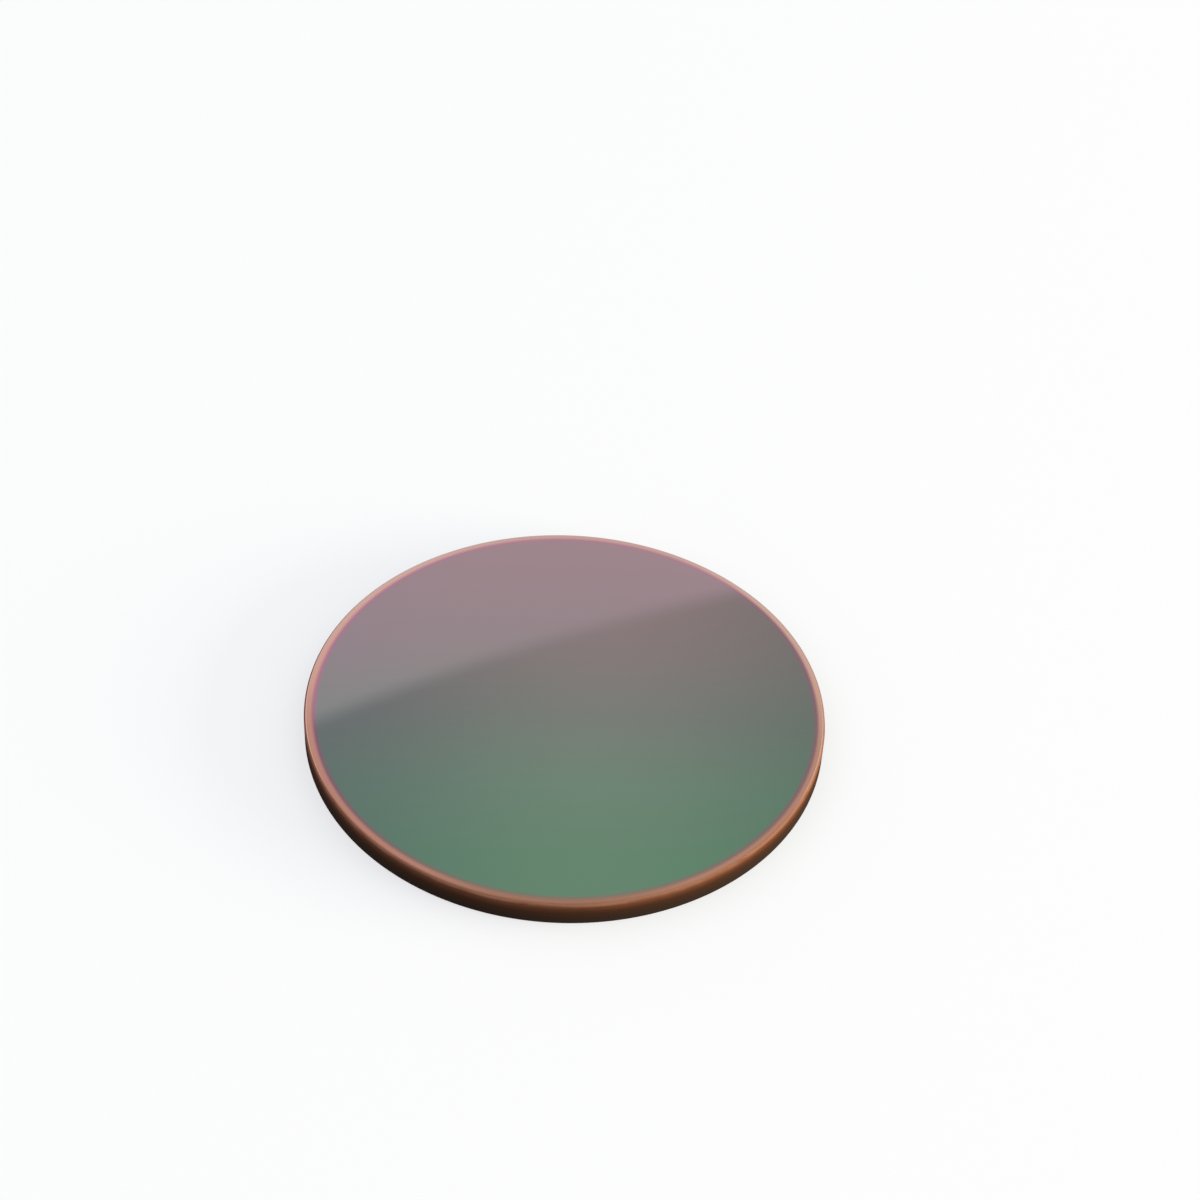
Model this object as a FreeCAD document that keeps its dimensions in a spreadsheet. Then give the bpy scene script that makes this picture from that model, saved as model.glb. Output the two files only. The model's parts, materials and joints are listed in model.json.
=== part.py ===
"""Flat round germanium optical window, lying on its back face. All lengths are in millimetres.

The window is one solid piece of crystal. A round blank is edged to its diameter, both its
faces are ground parallel and polished, and last a narrow protective bevel is ground round
each face, so that the sharp corner doesn't chip. The coatings on the two faces are a few
thousandths of a millimetre thick, so they are a finish and not a form.

The origin is at the centre of the back face, with +Z along the optical axis and out of
the front face.
"""

import FreeCAD, Part
import Sketcher
import os

NODE = "germanium_window"

DRIVING_DIMENSIONS = [
    ("window_diameter", 76.2, "across the ground edge"),
    ("window_thickness", 4.0, "from polished face to polished face"),
    ("front_bevel_leg", 0.3, "width that the front bevel takes off the front face"),
    ("front_bevel_angle", 45.0, "degrees between the front face and its bevel"),
    ("back_bevel_leg", 0.3, "width that the back bevel takes off the back face"),
    ("back_bevel_angle", 45.0, "degrees between the back face and its bevel"),
]
FAILED_STATES = {"Invalid", "Error"}
TOLERANCE = 1e-6


def make_sheet(doc):
    """Writes the driving dimensions into a sheet, one row each: name, number, meaning."""
    sheet = doc.addObject("Spreadsheet::Sheet", "sizes")
    for row, (alias, value, meaning) in enumerate(DRIVING_DIMENSIONS, start=1):
        sheet.set(f"A{row}", alias)
        sheet.set(f"B{row}", str(value))
        sheet.setAlias(f"B{row}", alias)
        sheet.set(f"C{row}", meaning)
    doc.recompute()
    return sheet


def draw_edged_outline(body):
    """Draws the circle that the blank is edged to, round the optical axis."""
    sketch = body.newObject("Sketcher::SketchObject", "edged_outline")
    back_face = next(p for p in body.Origin.OriginFeatures if p.Role == "XY_Plane")
    sketch.AttachmentSupport = [(back_face, "")]
    sketch.MapMode = "FlatFace"
    axis_point = FreeCAD.Vector(0, 0, 0)
    optical_axis = FreeCAD.Vector(0, 0, 1)
    first_radius = 1.0
    circle = sketch.addGeometry(Part.Circle(axis_point, optical_axis, first_radius), False)
    sketch_origin = (-1, 1)
    circle_centre = (circle, 3)
    sketch.addConstraint(Sketcher.Constraint("Coincident", *circle_centre, *sketch_origin))
    edging = sketch.addConstraint(Sketcher.Constraint("Diameter", circle, 2 * first_radius))
    sketch.setExpression(f"Constraints[{edging}]", "sizes.window_diameter")
    return sketch


def pad_blank(body, outline):
    """Gives the outline its thickness, upwards from the back face."""
    blank = body.newObject("PartDesign::Pad", "edged_blank")
    blank.Profile = outline
    blank.setExpression("Length", "sizes.window_thickness")
    return blank


def face_rim(shape, face_height):
    """Names the one closed edge that lies flat at the height of a polished face."""
    rims = [
        f"Edge{number}"
        for number, edge in enumerate(shape.Edges, start=1)
        if edge.isClosed()
        and abs(edge.BoundBox.ZMin - face_height) < TOLERANCE
        and abs(edge.BoundBox.ZMax - face_height) < TOLERANCE
    ]
    if len(rims) != 1:
        raise RuntimeError(f"expected one rim at height {face_height}, and found {rims}")
    return rims[0]


def grind_bevel(body, base, name, face_height):
    """Grinds the corner between one polished face and the ground edge to a bevel.

    A chamfer on a disc measures its size down the edge. Flipped, it measures the size
    across the polished face and the angle from that face, as an optical drawing does.
    """
    bevel = body.newObject("PartDesign::Chamfer", name)
    bevel.Base = (base, [face_rim(base.Shape, face_height)])
    bevel.ChamferType = "Distance and Angle"
    bevel.FlipDirection = True
    bevel.setExpression("Size", f"sizes.{name}_leg")
    bevel.setExpression("Angle", f"sizes.{name}_angle")
    return bevel


def make_window(doc, sheet):
    """Makes the window's one body: the edged blank, with a bevel round each face."""
    body = doc.addObject("PartDesign::Body", NODE)
    body.Label = NODE
    body.Placement = FreeCAD.Placement()
    blank = pad_blank(body, draw_edged_outline(body))
    doc.recompute()
    front = grind_bevel(body, blank, "front_bevel", sheet.window_thickness)
    doc.recompute()
    grind_bevel(body, front, "back_bevel", 0.0)
    doc.recompute()
    return body


def check_bevel_leg(sheet, shape, name, face_height):
    """Stops if a bevel takes more or less off its face than the sheet says."""
    rim = shape.getElement(face_rim(shape, face_height))
    leg = sheet.window_diameter / 2 - rim.Curve.Radius
    if abs(leg - getattr(sheet, f"{name}_leg")) > TOLERANCE:
        raise RuntimeError(f"{name} takes {leg} mm off its face")


def check_window(doc, sheet, window):
    """Stops if a feature failed, because a failed one keeps its old shape in silence."""
    failed = [feature.Name for feature in doc.Objects if FAILED_STATES & set(feature.State)]
    if failed:
        raise RuntimeError(f"features that failed: {failed}")
    shape = window.Shape
    if shape.isNull() or not shape.isValid() or len(shape.Solids) != 1:
        raise RuntimeError("the window isn't one valid solid")
    check_bevel_leg(sheet, shape, "front_bevel", sheet.window_thickness)
    check_bevel_leg(sheet, shape, "back_bevel", 0.0)


doc = FreeCAD.newDocument("optical_window")
sheet = make_sheet(doc)
window = make_window(doc, sheet)
check_window(doc, sheet, window)
os.makedirs("parts", exist_ok=True)
window.Shape.exportStep(f"parts/{window.Label}.step")
box = window.Shape.BoundBox
print(f"{window.Label}: {box.XLength:.3f} x {box.YLength:.3f} x {box.ZLength:.3f} mm")
print(f"volume {window.Shape.Volume:.2f} mm3, {len(window.Shape.Faces)} faces")
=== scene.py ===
# %% [markdown]
# Germanium optical window
#
# The object is one thick disc of crystal germanium, 76.2 mm across and 4 mm thick. To the
# eye germanium is opaque and shiny like a metal. Both faces are polished flat and carry an
# infrared coating, which reflects green from above and mauve from a lower angle. The
# coating thins out near the rim, where it turns magenta and then copper.
#
# The lesson goes in the order of a workshop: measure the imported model, set up the camera
# and the studio, turn the disc, bevel it, and then make its finishes.

# %% Load the frame
import json
import math

import bpy
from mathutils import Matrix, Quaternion, Vector


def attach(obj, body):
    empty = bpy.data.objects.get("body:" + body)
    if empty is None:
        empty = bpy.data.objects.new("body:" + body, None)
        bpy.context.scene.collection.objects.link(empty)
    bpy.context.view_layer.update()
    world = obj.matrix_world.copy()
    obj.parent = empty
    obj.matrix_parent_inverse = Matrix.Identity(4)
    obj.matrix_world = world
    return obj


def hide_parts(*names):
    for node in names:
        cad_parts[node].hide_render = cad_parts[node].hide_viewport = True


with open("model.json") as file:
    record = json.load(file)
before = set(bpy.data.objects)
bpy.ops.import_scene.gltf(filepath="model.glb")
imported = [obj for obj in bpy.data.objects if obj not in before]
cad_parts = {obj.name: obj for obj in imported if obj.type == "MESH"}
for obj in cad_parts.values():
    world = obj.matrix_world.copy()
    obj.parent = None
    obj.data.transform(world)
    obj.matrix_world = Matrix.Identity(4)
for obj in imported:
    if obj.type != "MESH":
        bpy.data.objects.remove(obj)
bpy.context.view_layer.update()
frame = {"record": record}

MM = 0.001


def in_mm(point):
    """A point's three numbers in millimetres, short enough to print."""
    return tuple(round(value / MM, 3) for value in point)


# %% [markdown]
# Sizes from the frame
#
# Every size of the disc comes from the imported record, so the picture and the solid can't
# drift apart. The rim is the mount that a cell grips: its radius is the disc's radius, and
# its length is what the two bevels leave of the thickness.

# %% Measure the disc
mounts = {mount["name"]: mount for mount in frame["record"]["mounts"]}
rim_radius = mounts["rim"]["dims"]["r_mm"] * MM
face_height = mounts["front_face"]["pos_m"][2]
bevel_leg = (face_height - mounts["rim"]["dims"]["length_mm"] * MM) / 2
face_radius = rim_radius - bevel_leg
face_centre = Vector((0, 0, face_height))
print(f"disc {2 * rim_radius / MM:.1f} x {face_height / MM:.1f} mm, bevels {bevel_leg / MM:.2f} mm")

# %% [markdown]
# The camera
#
# A disc seen from an angle is an ellipse, and the way its near half is wider than its far
# half tells how far away the camera is. The best match is a 75 mm lens, nearly ten disc
# radii away and 45 degrees above the table. The camera first looks straight at the middle
# of the face, and is then turned by small angles, as a hand-held camera would be. It looks
# along its own -Z, with its X to the right and its Y up, so each turn is about one of them.

# %% Place the camera
LENS_MM = 75.0
NEAREST_SEEN = 0.01
FARTHEST_SEEN = 10.0
CAMERA_DISTANCE = 9.621 * rim_radius
CAMERA_ELEVATION = math.radians(45.17)
TURN_RIGHT = math.radians(0.69)
TILT_UP = math.radians(2.45)
ROLL = math.radians(2.43)

towards_camera = Vector((0, -math.cos(CAMERA_ELEVATION), math.sin(CAMERA_ELEVATION)))
camera_data = bpy.data.cameras.new("product_camera")
camera_data.lens = LENS_MM
camera_data.clip_start = NEAREST_SEEN
camera_data.clip_end = FARTHEST_SEEN
camera = bpy.data.objects.new("product_camera", camera_data)
bpy.context.scene.collection.objects.link(camera)
camera.location = face_centre + CAMERA_DISTANCE * towards_camera
camera.rotation_mode = "QUATERNION"
straight_at_face = (-towards_camera).to_track_quat("-Z", "Y")
pan = Quaternion((0, 1, 0), -TURN_RIGHT)
tilt = Quaternion((1, 0, 0), TILT_UP)
roll = Quaternion((0, 0, 1), ROLL)
camera.rotation_quaternion = straight_at_face @ pan @ tilt @ roll
bpy.context.scene.camera = camera
bpy.context.scene.view_settings.view_transform = "Standard"
print(f"camera at {in_mm(camera.location)} mm")

# %% [markdown]
# Shader maths in plain Python
#
# A finish is a formula, and a formula is easier to read as one line of Python than as a
# web of nodes. The class wraps one output of a node tree. Plus, minus, times and divide on
# it add Math nodes, and any other node comes from its one method.

# %% A class for shader formulas


class Signal:
    """One output of a node tree, on which Python's operators add Math nodes."""

    def __init__(self, tree, socket=None):
        self.tree = tree
        self.socket = socket

    def node(self, kind, settings=None, inputs=None, output=0):
        """Adds a node, sets it up, feeds its sockets and gives one of its outputs."""
        node = self.tree.nodes.new(kind)
        for name, value in (settings or {}).items():
            if name == "stops":
                set_ramp_stops(node.color_ramp, value)
            else:
                setattr(node, name, value)
        for name, value in (inputs or {}).items():
            if isinstance(value, Signal):
                self.tree.links.new(value.socket, node.inputs[name])
            else:
                node.inputs[name].default_value = value
        return Signal(self.tree, node.outputs[output])

    def math(self, operation, *values):
        """Adds a Math node on up to three values, in the order that the node takes them."""
        return self.node("ShaderNodeMath", {"operation": operation}, dict(enumerate(values)))

    def __add__(self, other):
        return self.math("ADD", self, other)

    __radd__ = __add__

    def __sub__(self, other):
        return self.math("SUBTRACT", self, other)

    def __rsub__(self, other):
        return self.math("SUBTRACT", other, self)

    def __neg__(self):
        return 0 - self

    def __mul__(self, other):
        return self.math("MULTIPLY", self, other)

    __rmul__ = __mul__

    def __truediv__(self, other):
        return self.math("DIVIDE", self, other)


print("shader formulas: + - * / on any output of a node")

# %% [markdown]
# Colours and soft borders
#
# A Math node turns a colour grey, so colours go through a Mix node instead. Three helpers
# say where one colour gives way to another: along an S-curve from one value to a second,
# the same curve spread evenly over a border, and a chart with a colour at each of its stops.

# %% Helpers for colours and borders


def opaque(colour):
    """A colour as its socket takes it: plain numbers get their alpha, a Signal stays."""
    return colour if isinstance(colour, Signal) else (*colour, 1)


def mix_colours(mask, under, over):
    """One colour laid over another, where the mask is 1."""
    settings = {"data_type": "RGBA"}
    factor, colour_a, colour_b, colour_result = 0, 6, 7, 2
    inputs = {factor: mask, colour_a: opaque(under), colour_b: opaque(over)}
    return mask.node("ShaderNodeMix", settings, inputs, colour_result)


def smooth_rise(value, start, end):
    """0 where the value is before start, 1 past end, and an S-curve between them."""
    settings = {"interpolation_type": "SMOOTHSTEP"}
    limits = {"Value": value, "From Min": start, "From Max": end}
    return value.node("ShaderNodeMapRange", settings, limits)


def soft_border(value, border, softness):
    """0 before a border and 1 past it, with half of the change on each side of it."""
    return smooth_rise(value, border - softness / 2, border + softness / 2)


def set_ramp_stops(ramp, stops):
    """Gives a new colour ramp its stops: a place from 0 to 1, and a colour."""
    for end, (place, colour) in zip((0, 1), (stops[0], stops[-1])):
        ramp.elements[end].position = place
        ramp.elements[end].color = opaque(colour)
    for place, colour in stops[1:-1]:
        ramp.elements.new(place).color = opaque(colour)


def read_chart(value, stops):
    """The colour that a chart gives for a value, blended between its stops."""
    return value.node("ShaderNodeValToRGB", {"stops": stops}, {"Fac": value}, "Color")


def part_of(vector, axis):
    """One number of a vector: its X, Y or Z."""
    return vector.node("ShaderNodeSeparateXYZ", inputs={"Vector": vector}, output=axis)


def vector_math(operation, first, second, output):
    """Adds a Vector Math node on two vectors."""
    settings = {"operation": operation}
    return first.node("ShaderNodeVectorMath", settings, {0: first, 1: second}, output)


def new_finish(name):
    """An empty material, and the start of its node tree."""
    material = bpy.data.materials.new(name)
    material.use_nodes = True
    material.node_tree.nodes.clear()
    return material, Signal(material.node_tree)


def connect_output(shader, kind="ShaderNodeOutputMaterial"):
    """Ends a node tree with the output node that its shader goes to."""
    output = shader.tree.nodes.new(kind)
    shader.tree.links.new(shader.socket, output.inputs["Surface"])


def surface(start, inputs):
    """Ends a material with its shader. Sockets that aren't given keep their usual value."""
    connect_output(start.node("ShaderNodeBsdfPrincipled", inputs=inputs))


print("helpers for colours, borders and materials are ready")

# %% [markdown]
# The studio's ceiling and walls
#
# The polished face is a mirror, so most of what it shows is the studio. The photograph
# shows a soft slanted line across the face, with a brighter part on the far side: there
# the face mirrors a pale wall, and nearer the camera it mirrors a dimmer ceiling. A world
# can hold both, because its colour may depend on the direction: within 48 degrees of a
# slightly tilted axis it is ceiling, and anywhere else it is wall.

# %% Part the ceiling from the walls
CEILING_TILT = math.radians(13.7)
CEILING_AXIS = Vector((math.sin(CEILING_TILT), 0, math.cos(CEILING_TILT)))
CEILING_EDGE = math.cos(math.radians(48.0))
EDGE_SOFTNESS = 0.007

world = bpy.data.worlds.new("studio_walls")
world.use_nodes = True
world.node_tree.nodes.clear()
bpy.context.scene.world = world
start = Signal(world.node_tree)
direction = start.node("ShaderNodeTexCoord", output="Generated")
towards_ceiling = vector_math("DOT_PRODUCT", direction, CEILING_AXIS, "Value")
is_ceiling = soft_border(towards_ceiling, CEILING_EDGE, EDGE_SOFTNESS)
print(f"ceiling round the direction {tuple(round(value, 3) for value in CEILING_AXIS)}")

# %% [markdown]
# The colours of the ceiling
#
# The face darkens gently to both sides, bluish on the left and greenish on the right, so
# the far part of the ceiling is brightest along its middle. Overhead it is a plain grey,
# and it brightens to the right, over the lamp.
#
# The colours are linear light. Each pair of numbers says where a change starts and where
# it ends, along one part of the direction: X is sideways, Y is onwards and Z is upwards.

# %% Paint the ceiling
OVERHEAD = (0.58, 0.64, 0.67)
OVER_LAMP = (0.95, 1.12, 1.08)
FAR_MIDDLE = (0.79, 0.79, 0.79)
FAR_LEFT = (0.570, 0.578, 0.672)
FAR_RIGHT = (0.488, 0.640, 0.578)
MIDDLE_LINE = 0.012
MIDDLE_TO_SIDE = (0.0, 0.13)
LEFT_TO_RIGHT = (-0.05, 0.05)
OVERHEAD_TO_FAR = (0.3, 0.6)
PLAIN_TO_LAMP = (0.15, 0.38)

sideways = part_of(direction, "X")
onwards = part_of(direction, "Y")
upwards = part_of(direction, "Z")
off_middle = start.math("ABSOLUTE", sideways - MIDDLE_LINE)
far_sides = mix_colours(smooth_rise(sideways, *LEFT_TO_RIGHT), FAR_LEFT, FAR_RIGHT)
far_ceiling = mix_colours(smooth_rise(off_middle, *MIDDLE_TO_SIDE), FAR_MIDDLE, far_sides)
long_ceiling = mix_colours(smooth_rise(onwards, *OVERHEAD_TO_FAR), OVERHEAD, far_ceiling)
ceiling = mix_colours(smooth_rise(sideways, *PLAIN_TO_LAMP), long_ceiling, OVER_LAMP)
print(f"ceiling {OVERHEAD} overhead and {FAR_MIDDLE} in the far middle")

# %% [markdown]
# The walls and the backdrop
#
# The walls are nearly white, and a little bluer high on the left, as the far left of the
# face shows. Straight from the camera the world is a plain backdrop in the floor's colour,
# so that a low view shows no line where the floor ends.

# %% Paint the walls and the backdrop
WALLS = (0.98, 0.985, 1.03)
LEFT_WALLS = (0.945, 0.925, 1.03)
BACKDROP = (0.893, 0.904, 0.931)
PLAIN_TO_LEFT = (0.04, 0.12)
LOW_TO_HIGH = (0.50, 0.66)

is_high_left = smooth_rise(-sideways, *PLAIN_TO_LEFT) * smooth_rise(upwards, *LOW_TO_HIGH)
walls = mix_colours(is_high_left, WALLS, LEFT_WALLS)
room = mix_colours(is_ceiling, walls, ceiling)
seen_by_camera = start.node("ShaderNodeLightPath", output="Is Camera Ray")
light = mix_colours(seen_by_camera, room, BACKDROP)
connect_output(start.node("ShaderNodeBackground", inputs={"Color": light}), "ShaderNodeOutputWorld")
print(f"{world.name}: {len(world.node_tree.nodes)} nodes")

# %% [markdown]
# The floor
#
# The floor is a plain grey sheet that the camera sees as white: Light Path tells the rays
# that come from the camera or off a shiny surface, and only those see its glow. So it
# keeps the disc's soft shadow, and it doesn't flood the ground edge from below. It lies a
# fiftieth of a millimetre under the disc, so that the two surfaces don't mix.

# %% Lay the floor
FLOOR_SIZE = 20.0
FLOOR_GAP = 0.02 * MM
FLOOR_COLOUR = (0.28, 0.28, 0.28)
FLOOR_GLOW = (0.658, 0.656, 0.670)
NO_GLOW = (0.0, 0.0, 0.0)
GLOW_STRENGTH = 1.0
DULL = 1.0
NO_GLOSS = 0.0

bpy.ops.object.select_all(action="DESELECT")
bpy.ops.mesh.primitive_plane_add(size=FLOOR_SIZE, location=(0, 0, -FLOOR_GAP))
floor = bpy.context.active_object
floor.name = "studio_floor"
floor_material, start = new_finish("studio_floor")
camera_ray = start.node("ShaderNodeLightPath", output="Is Camera Ray")
glossy_ray = start.node("ShaderNodeLightPath", output="Is Glossy Ray")
sees_glow = start.math("MAXIMUM", camera_ray, glossy_ray)
surface(
    start,
    {
        "Base Color": opaque(FLOOR_COLOUR),
        "Roughness": DULL,
        "Specular IOR Level": NO_GLOSS,
        "Emission Color": mix_colours(sees_glow, NO_GLOW, FLOOR_GLOW),
        "Emission Strength": GLOW_STRENGTH,
    },
)
floor.data.materials.append(floor_material)
print(f"{floor.name}: {FLOOR_SIZE} m wide")

# %% [markdown]
# The lamp
#
# One large soft lamp stands low on the right. It hardly lights the floor, but it shines
# straight on the edge, whose right-hand side the photograph shows in a golden light. The
# polished faces show no mirror image of it, as if a black card stood between them.

# %% Stand the lamp on the right
LAMP_WIDTH = 2.4
LAMP_HEIGHT = 0.76
LAMP_PLACE = Vector((2.90, -0.52, 0.40))
LAMP_COLOUR = (1.0, 0.87, 0.62)
LAMP_WATTS = 218.0

lamp_data = bpy.data.lights.new("side_softbox", "AREA")
lamp_data.shape = "RECTANGLE"
lamp_data.size = LAMP_WIDTH
lamp_data.size_y = LAMP_HEIGHT
lamp_data.color = LAMP_COLOUR
lamp_data.energy = LAMP_WATTS
lamp = bpy.data.objects.new("side_softbox", lamp_data)
lamp.visible_glossy = False
bpy.context.scene.collection.objects.link(lamp)
lamp.location = LAMP_PLACE
lamp.rotation_mode = "QUATERNION"
lamp.rotation_quaternion = (-LAMP_PLACE).to_track_quat("-Z", "Y")
print(f"{lamp.name}: {LAMP_WATTS} W, {LAMP_PLACE.length:.2f} m from the disc")

# %% [markdown]
# The edged blank
#
# An optician starts from a round blank, ground to its diameter on a spindle. Here it
# starts as a cylinder with many sides. A mirror shows every facet of its rim, so 512 sides
# keep the outline within a thousandth of a millimetre of a true circle.

# %% Turn the blank
RIM_SIDES = 512

bpy.ops.object.select_all(action="DESELECT")
bpy.ops.mesh.primitive_cylinder_add(
    vertices=RIM_SIDES,
    radius=rim_radius,
    depth=face_height,
    location=face_centre / 2,
    end_fill_type="NGON",
)
disc = bpy.context.active_object
disc.name = "window_disc"
bpy.ops.object.transform_apply(location=True, rotation=True, scale=True)
print(f"blank with {len(disc.data.polygons)} faces")

# %% [markdown]
# The protective bevels
#
# A sharp corner of germanium chips at a touch, so a narrow 45 degree bevel is ground round
# each face. The bevel operator cuts it on the two rims. A second, smaller bevel then
# rounds the four corners that the first one left, because the last lapping wears them
# down, and in the photograph the bevel rolls softly into the face and the edge.
#
# The edges to bevel are found by their place: both ends lie on the same circle.

# %% Grind the bevels
CORNER_BREAK = 0.08 * MM
CORNER_STEPS = 3
NEARLY = 0.001 * MM


def ring(radius, height):
    """A test for the points of one circle round the optical axis."""
    return lambda point: (
        abs(math.hypot(point.x, point.y) - radius) < NEARLY and abs(point.z - height) < NEARLY
    )


def select_rings(piece, rings):
    """In edit mode, selects just the edges that have both ends on one of the rings."""
    bpy.ops.mesh.select_mode(type="EDGE")
    bpy.ops.mesh.select_all(action="DESELECT")
    bpy.ops.object.mode_set(mode="OBJECT")
    points = piece.data.vertices
    for edge in piece.data.edges:
        ends = [points[index].co for index in edge.vertices]
        edge.select = any(all(on_ring(end) for end in ends) for on_ring in rings)
    bpy.ops.object.mode_set(mode="EDIT")


def select_only(piece):
    """Deselects everything, then selects one object and makes it the active one."""
    bpy.ops.object.select_all(action="DESELECT")
    piece.select_set(True)
    bpy.context.view_layer.objects.active = piece


select_only(disc)
bpy.ops.object.mode_set(mode="EDIT")
select_rings(disc, [ring(rim_radius, 0), ring(rim_radius, face_height)])
bpy.ops.mesh.bevel(offset=bevel_leg, offset_type="OFFSET", segments=1, affect="EDGES")
bevel_corners = [
    ring(face_radius, 0),
    ring(rim_radius, bevel_leg),
    ring(rim_radius, face_height - bevel_leg),
    ring(face_radius, face_height),
]
select_rings(disc, bevel_corners)
bpy.ops.mesh.bevel(
    offset=CORNER_BREAK, offset_type="OFFSET", segments=CORNER_STEPS, affect="EDGES"
)
bpy.ops.object.mode_set(mode="OBJECT")
print(f"bevelled disc with {len(disc.data.polygons)} faces")

# %% [markdown]
# The polished faces
#
# Each flat face is still one face with hundreds of corners, which any program may cut into
# triangles in its own way. Two insets give it a ring for the coating's margin and a ring
# for its fringe, and a poke closes the middle to a neat fan. The widths of the two zones
# are measured in the photograph, and the coating reads them again below.

# %% Divide the polished faces
MARGIN_WIDTH = 1.1 * MM
FRINGE_WIDTH = 0.5 * MM


def select_flat_faces(piece):
    """In edit mode, selects just the two many-sided flat faces."""
    bpy.ops.mesh.select_mode(type="FACE")
    bpy.ops.mesh.select_all(action="DESELECT")
    bpy.ops.object.mode_set(mode="OBJECT")
    for face in piece.data.polygons:
        face.select = len(face.vertices) == RIM_SIDES
    bpy.ops.object.mode_set(mode="EDIT")


bpy.ops.object.mode_set(mode="EDIT")
select_flat_faces(disc)
bpy.ops.mesh.inset(thickness=MARGIN_WIDTH - bevel_leg - CORNER_BREAK)
bpy.ops.mesh.inset(thickness=FRINGE_WIDTH)
bpy.ops.mesh.poke()
bpy.ops.object.mode_set(mode="OBJECT")
print(f"finished disc with {len(disc.data.polygons)} faces")

# %% [markdown]
# Normals
#
# The whole disc is shaded smooth, so that its rim looks round. Smooth shading would also
# bend the light near the border of a flat face, where a mirror shows it at once. So the
# four rings where the flat faces and the straight edge end are marked sharp, and the
# smoothing stops there.

# %% Smooth the rim and keep the faces flat
flat_ends = [
    ring(face_radius - CORNER_BREAK, 0),
    ring(rim_radius, bevel_leg + CORNER_BREAK),
    ring(rim_radius, face_height - bevel_leg - CORNER_BREAK),
    ring(face_radius - CORNER_BREAK, face_height),
]
select_only(disc)
bpy.ops.object.shade_smooth()
bpy.ops.object.mode_set(mode="EDIT")
select_rings(disc, flat_ends)
bpy.ops.mesh.mark_sharp()
bpy.ops.object.mode_set(mode="OBJECT")
sharp_edges = [edge for edge in disc.data.edges if edge.use_edge_sharp]
print(f"{len(sharp_edges)} sharp edges on {len(flat_ends)} rings")

# %% [markdown]
# The colours of the coating
#
# The coating is a stack of clear films. Light that is mirrored from the top and the bottom
# of a film meets again, and some colours cancel: which ones depends on the length of the
# path through the film, so the colour changes with the angle of view. From above it is
# green, at 45 degrees it is grey, and lower down it is mauve.
#
# Blender has a thin film of its own, but it is one film, and a stack has other colours. So
# the face is a metal whose colour is read from a chart, by how squarely the eye meets the
# surface. Layer Weight gives that: 0 is square on, and 1 is along the surface. At a blend
# of 0.5 it is exactly 1 less the cosine of the angle. The fringe and the margin, where the
# coating thins out, have charts of their own.

# %% Chart the coating's colours
FILM_BY_ANGLE = [
    (0.00, (0.120, 0.255, 0.170)),
    (0.25, (0.168, 0.300, 0.202)),
    (0.27, (0.200, 0.292, 0.222)),
    (0.29, (0.246, 0.256, 0.232)),
    (0.31, (0.304, 0.242, 0.248)),
    (0.34, (0.354, 0.238, 0.256)),
    (0.45, (0.400, 0.250, 0.290)),
    (0.75, (0.340, 0.240, 0.280)),
    (1.00, (0.250, 0.200, 0.230)),
]
FRINGE_BY_ANGLE = [
    (0.24, (0.260, 0.235, 0.180)),
    (0.27, (0.370, 0.185, 0.215)),
    (0.30, (0.430, 0.180, 0.260)),
    (0.34, (0.430, 0.205, 0.265)),
    (1.00, (0.300, 0.180, 0.240)),
]
MARGIN_BY_ANGLE = [
    (0.200, (0.430, 0.180, 0.105)),
    (0.237, (0.430, 0.210, 0.135)),
    (0.246, (0.585, 0.275, 0.195)),
    (0.270, (0.600, 0.280, 0.205)),
    (0.286, (0.620, 0.310, 0.225)),
    (0.300, (0.750, 0.415, 0.315)),
    (0.320, (0.740, 0.450, 0.355)),
    (0.331, (0.720, 0.450, 0.375)),
    (0.341, (0.640, 0.390, 0.355)),
    (1.000, (0.450, 0.330, 0.290)),
]
COSINE_BLEND = 0.5

coated, start = new_finish("coated_faces")
facing = start.node("ShaderNodeLayerWeight", inputs={"Blend": COSINE_BLEND}, output="Facing")
film = read_chart(facing, FILM_BY_ANGLE)
fringe = read_chart(facing, FRINGE_BY_ANGLE)
margin = read_chart(facing, MARGIN_BY_ANGLE)
print(f"charts with {len(FILM_BY_ANGLE)}, {len(FRINGE_BY_ANGLE)} and {len(MARGIN_BY_ANGLE)} stops")

# %% [markdown]
# The zones of the coating
#
# The coating is laid through a round mask, a little smaller than the face. Its shadow is
# soft, so the film fades into the fringe and the fringe into the margin. In the photograph
# the coated circle sits a tenth of a millimetre to the right, which makes the margin a
# little wider on the left. A zone is a mask that is worked out from the distance to that
# circle's centre, so it goes by the place on the disc and not by the mesh. The margin is
# less smooth than the film, and blurs what it mirrors.

# %% Lay the zones on the faces
COATING_CENTRE = Vector((0.09 * MM, 0, 0))
FADE_MM = 0.7
SEEN_FROM_ABOVE = (1, 1, 0)
METAL = 1.0
FILM_ROUGHNESS = 0.02
MARGIN_ROUGHNESS = 0.30

place = start.node("ShaderNodeTexCoord", output="Object")
flat_place = vector_math("MULTIPLY", place, SEEN_FROM_ABOVE, "Vector")
from_centre = vector_math("DISTANCE", flat_place, COATING_CENTRE, "Value")
mm_from_rim = (rim_radius - from_centre) / MM
in_margin = 1 - soft_border(mm_from_rim, MARGIN_WIDTH / MM, FADE_MM)
in_fringe = 1 - soft_border(mm_from_rim, (MARGIN_WIDTH + FRINGE_WIDTH) / MM, FADE_MM)
coating = mix_colours(in_margin, mix_colours(in_fringe, film, fringe), margin)
roughness = FILM_ROUGHNESS + (MARGIN_ROUGHNESS - FILM_ROUGHNESS) * in_margin
surface(start, {"Base Color": coating, "Metallic": METAL, "Roughness": roughness})
print(f"{coated.name}: {len(coated.node_tree.nodes)} nodes")

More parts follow.
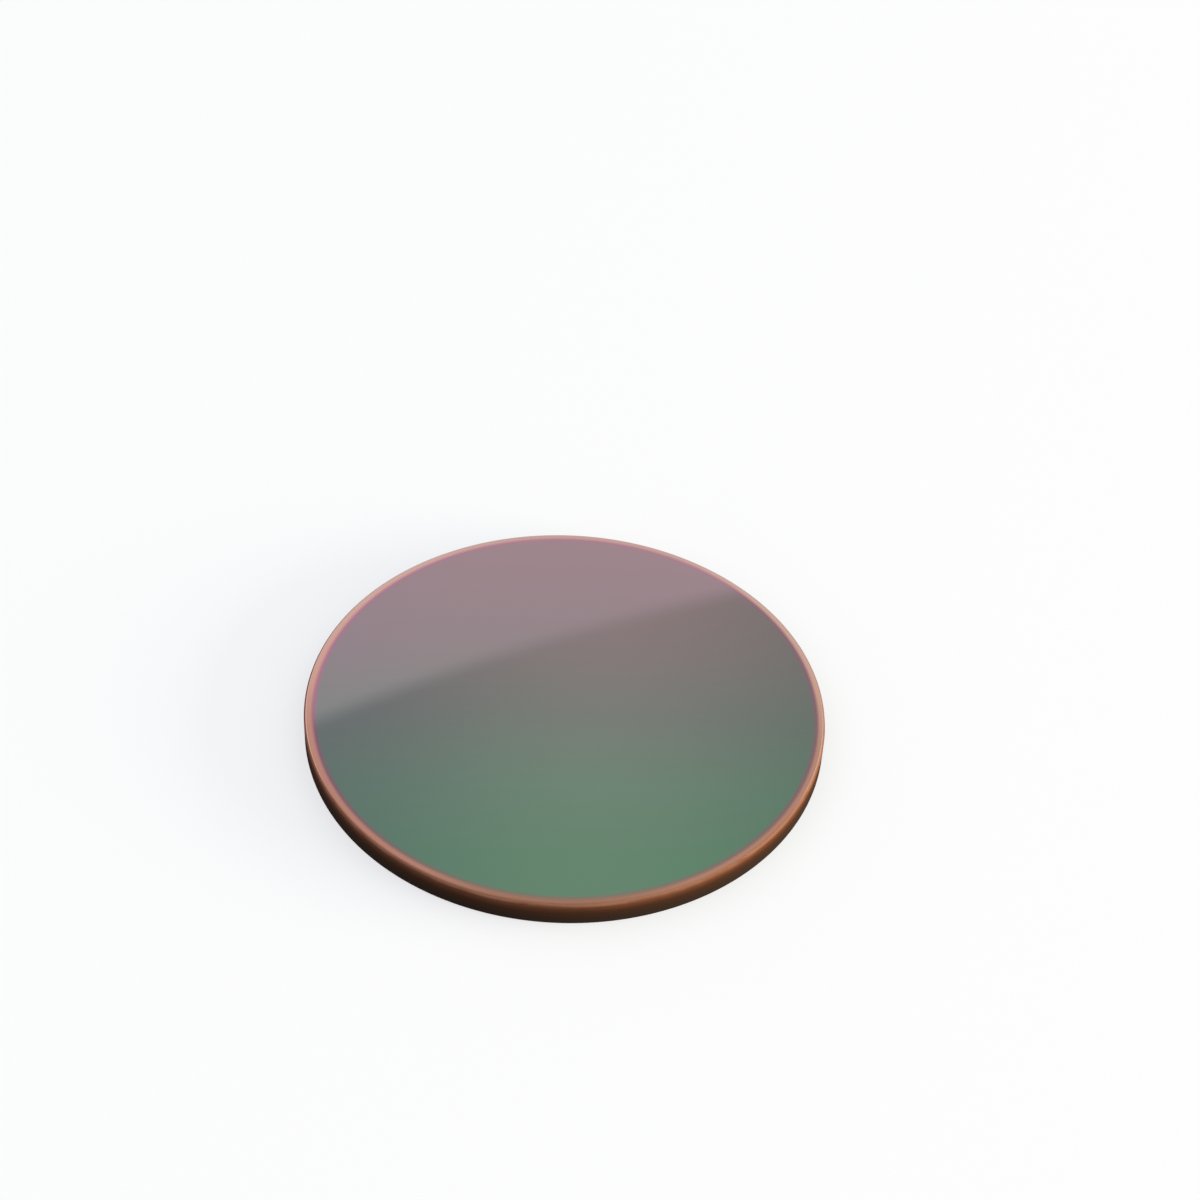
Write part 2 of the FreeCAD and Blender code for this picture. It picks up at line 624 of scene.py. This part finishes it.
# %% [markdown]
# The lines of the wheel
#
# The edge and the bevels aren't polished. They are ground with a fine wheel while the disc
# turns, which leaves a dark grey satin with fine lines round the rim. Noise that is
# squeezed in height makes such lines, and they feed a bump, so that they catch the light.
# A second, even noise makes patches for the colour.

# %% Draw the lines round the rim
LINES_ALONG = 150.0
LINES_ACROSS = 4000.0
LINE_DETAIL = 3.0
LINE_DEPTH = 0.08 * MM
LINE_STRENGTH = 1.0
PATCH_SCALE = 400.0
PATCH_DETAIL = 2.0


def noise(place, detail, scale=1.0):
    """Soft random grey from 0 to 1. Each step of detail adds a finer and fainter layer."""
    inputs = {"Vector": place, "Scale": scale, "Detail": detail}
    return place.node("ShaderNodeTexNoise", inputs=inputs, output="Fac")


ground, start = new_finish("ground_rim")
place = start.node("ShaderNodeTexCoord", output="Object")
squeeze = (LINES_ALONG, LINES_ALONG, LINES_ACROSS)
line_place = start.node("ShaderNodeMapping", inputs={"Vector": place, "Scale": squeeze})
lines = noise(line_place, LINE_DETAIL)
patches = noise(place, PATCH_DETAIL, PATCH_SCALE)
line_bump = start.node(
    "ShaderNodeBump",
    inputs={"Strength": LINE_STRENGTH, "Distance": LINE_DEPTH, "Height": lines},
    output="Normal",
)
print(f"lines {LINE_DEPTH / MM} mm deep")

# %% [markdown]
# The colour of the rim
#
# Some of the coating drifts past the face while it is laid, so the top of the edge is
# coppery. The chart also paints light on the rim: the front bevel and the top of the edge
# are painted lighter, a painted highlight from above. The edge is painted darker towards
# the back face, a painted shade, though that face carries the same coating. The chart gives
# the colour by height, from 0 at the back face to 1 at the front face. The lines and patches
# move the height that is looked up a little, so that the fade is uneven.

# %% Make the ground finish
# Painted light and shade: the top stops are lighter and the low stops darker than the ground and
# its copper drift would be under even light.
RIM_DRIFT_AND_SHADE_BY_HEIGHT = [
    (0.30, (0.027, 0.017, 0.0125)),
    (0.58, (0.044, 0.0185, 0.0105)),
    (0.71, (0.070, 0.028, 0.015)),
    (0.84, (0.110, 0.042, 0.023)),
    (0.92, (0.165, 0.068, 0.041)),
    (0.97, (0.238, 0.109, 0.070)),
]
MEAN_NOISE = 0.5
PATCH_DRIFT = 0.08
LINE_DRIFT = 0.14
GROUND_METALLIC = 0.10
GROUND_ROUGHNESS = 0.60
ROUGHNESS_SPREAD = 0.1

level = part_of(place, "Z") / face_height
line_wave = lines - MEAN_NOISE
drifted_level = level + PATCH_DRIFT * (patches - MEAN_NOISE) + LINE_DRIFT * line_wave
surface(
    start,
    {
        "Base Color": read_chart(drifted_level, RIM_DRIFT_AND_SHADE_BY_HEIGHT),
        "Metallic": GROUND_METALLIC,
        "Roughness": GROUND_ROUGHNESS + ROUGHNESS_SPREAD * line_wave,
        "Specular IOR Level": NO_GLOSS,
        "Normal": line_bump,
    },
)
print(f"{ground.name}: {len(ground.node_tree.nodes)} nodes")

# %% [markdown]
# Which surface gets which finish
#
# Each face of the mesh takes its finish by its slope. What leans less than 40 degrees from
# level is coated: the flat faces, and the rounded corner beside them, because the coating
# reaches down over it. The 45 degree bevels and the straight edge are ground.

# %% Give each surface its finish
STEEPEST_COATED = math.cos(math.radians(40))
COATED_SLOT = 0
GROUND_SLOT = 1

disc.data.materials.append(coated)
disc.data.materials.append(ground)
for face in disc.data.polygons:
    is_coated = abs(face.normal.z) > STEEPEST_COATED
    face.material_index = COATED_SLOT if is_coated else GROUND_SLOT
coated_count = sum(face.material_index == COATED_SLOT for face in disc.data.polygons)
print(f"{coated_count} coated faces and {len(disc.data.polygons) - coated_count} ground ones")

# %% [markdown]
# Handing over
#
# The disc rides on the part's one body and stands in for the imported solid, which is hidden.

# %% Join the disc to the frame
WINDOW = "germanium_window"

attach(disc, "root")
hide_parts(WINDOW)
